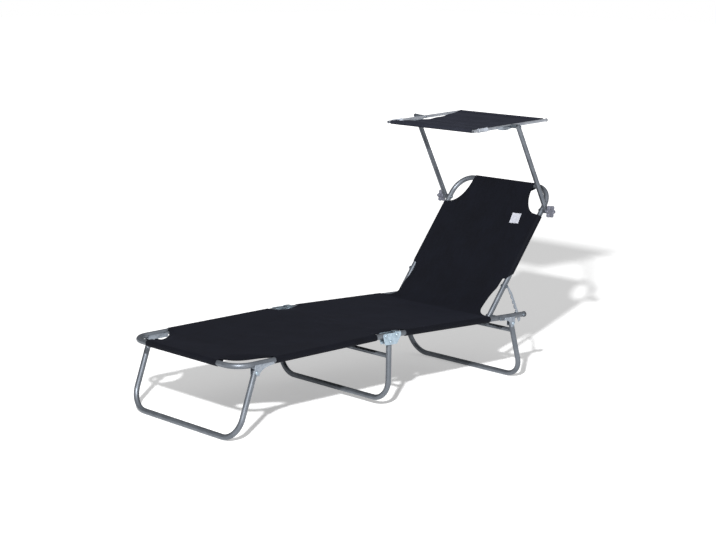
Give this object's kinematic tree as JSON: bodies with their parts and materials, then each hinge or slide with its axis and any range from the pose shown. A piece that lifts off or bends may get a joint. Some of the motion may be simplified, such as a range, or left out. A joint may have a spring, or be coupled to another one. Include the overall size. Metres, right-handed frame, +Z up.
{
  "type": "sun lounger with canopy",
  "caption": "Folding three-leg sun lounger in grey steel tube with dark fabric slings, a notched-bar backrest and a small swinging sun canopy.",
  "frame": {"origin": "on the floor under the middle of the whole lounger's bounding box", "axes": "+X across to the right side seen from the foot end, +Y from the foot end to the head end, +Z up"},
  "size_m": [0.5882, 1.5536, 0.9398],
  "materials": {
    "tube_steel": "satin silver-grey powder coat",
    "sheet_steel": "satin pale grey pressed steel",
    "fastener": "zinc-plated",
    "plastic": "moulded",
    "knob_plastic": "moulded",
    "sling_fabric": "woven, dark blue-black",
    "canopy_fabric": "woven, dark blue-black"
  },
  "bodies": {
    "seat": {"seat_rail_left": "tube_steel", "seat_rail_right": "tube_steel", "rail_cap_left": "plastic", "rail_cap_right": "plastic", "middle_bracket_left": "sheet_steel", "middle_bracket_right": "sheet_steel", "foot_rivet_left": "fastener", "foot_rivet_right": "fastener", "seat_rivet_left": "fastener", "seat_rivet_right": "fastener", "middle_leg_rivet_left": "fastener", "middle_leg_rivet_right": "fastener", "rear_leg_bracket_left": "sheet_steel", "rear_leg_bracket_right": "sheet_steel", "rear_leg_rivet_left": "fastener", "rear_leg_rivet_right": "fastener", "hinge_bolt_left": "fastener", "hinge_bolt_right": "fastener", "catch_pin_left": "fastener", "catch_pin_right": "fastener", "seat_sling": "sling_fabric"},
    "foot": {"foot_frame": "tube_steel", "foot_leg_bracket_left": "sheet_steel", "foot_leg_bracket_right": "sheet_steel", "foot_leg_rivet_left": "fastener", "foot_leg_rivet_right": "fastener", "foot_sling": "sling_fabric"},
    "foot_leg": {"foot_leg": "tube_steel"},
    "middle_leg": {"middle_leg": "tube_steel", "middle_leg_crossbar": "tube_steel"},
    "rear_leg": {"rear_leg": "tube_steel", "rear_leg_crossbar": "tube_steel"},
    "back": {"back_frame": "tube_steel", "ratchet_bolt_left": "fastener", "ratchet_bolt_right": "fastener", "clamp_washer_left": "plastic", "clamp_washer_right": "plastic", "clamp_bolt_left": "fastener", "clamp_bolt_right": "fastener", "back_sling": "sling_fabric"},
    "ratchet_left": {"ratchet_bar_left": "sheet_steel"},
    "ratchet_right": {"ratchet_bar_right": "sheet_steel"},
    "knob_left": {"clamp_knob_left": "knob_plastic"},
    "knob_right": {"clamp_knob_right": "knob_plastic"},
    "arms": {"canopy_arm_left": "tube_steel", "canopy_arm_right": "tube_steel", "tilt_bolt_left": "fastener", "tilt_bolt_right": "fastener"},
    "canopy": {"canopy_side_bar_left": "tube_steel", "canopy_side_bar_right": "tube_steel", "canopy_front_tube": "tube_steel", "canopy_back_tube": "tube_steel", "tilt_plate_left": "sheet_steel", "tilt_plate_right": "sheet_steel", "canopy_connector_left": "plastic", "canopy_connector_right": "plastic", "canopy_cap_left": "plastic", "canopy_cap_right": "plastic", "canopy_cloth": "canopy_fabric"}
  },
  "joints": [
    {"name": "foot_fold", "type": "hinge", "parent": "seat", "child": "foot", "pos_m": [0, -0.12853, 0.25921], "axis": [1, 0, 0], "range_deg": [-150, 0]},
    {"name": "foot_leg_fold", "type": "hinge", "parent": "foot", "child": "foot_leg", "pos_m": [0, -0.69286, 0.22138], "axis": [1, 0, 0], "range_deg": [0, 108]},
    {"name": "middle_leg_fold", "type": "hinge", "parent": "seat", "child": "middle_leg", "pos_m": [0, -0.10612, 0.23661], "axis": [1, 0, 0], "range_deg": [0, 88]},
    {"name": "rear_leg_fold", "type": "hinge", "parent": "seat", "child": "rear_leg", "pos_m": [0, 0.50757, 0.21654], "axis": [1, 0, 0], "range_deg": [-106, 0]},
    {"name": "back_recline", "type": "hinge", "parent": "seat", "child": "back", "pos_m": [0, 0.43827, 0.24436], "axis": [1, 0, 0], "range_deg": [-46, 75]},
    {"name": "ratchet_left_swing", "type": "hinge", "parent": "back", "child": "ratchet_left", "pos_m": [0, 0.51393, 0.34513], "axis": [1, 0, 0], "range_deg": [-38, 24]},
    {"name": "ratchet_right_swing", "type": "hinge", "parent": "back", "child": "ratchet_right", "pos_m": [0, 0.51393, 0.34513], "axis": [1, 0, 0], "range_deg": [-38, 24]},
    {"name": "canopy_swing", "type": "hinge", "parent": "back", "child": "arms", "pos_m": [0, 0.70846, 0.60422], "axis": [-1, 0, 0], "range_deg": [-50, 120]},
    {"name": "canopy_tilt", "type": "hinge", "parent": "arms", "child": "canopy", "pos_m": [0, 0.54172, 0.92317], "axis": [1, 0, 0], "range_deg": [-70, 70]},
    {"name": "knob_left_turn", "type": "hinge", "parent": "back", "child": "knob_left", "pos_m": [0, 0.70846, 0.60422], "axis": [1, 0, 0], "continuous": true},
    {"name": "knob_right_turn", "type": "hinge", "parent": "back", "child": "knob_right", "pos_m": [0, 0.70846, 0.60422], "axis": [1, 0, 0], "continuous": true}
  ],
  "couplings": [
    {"joint": "ratchet_left_swing", "follows": "back_recline", "ratio": -0.5},
    {"joint": "ratchet_right_swing", "follows": "back_recline", "ratio": -0.5}
  ]
}
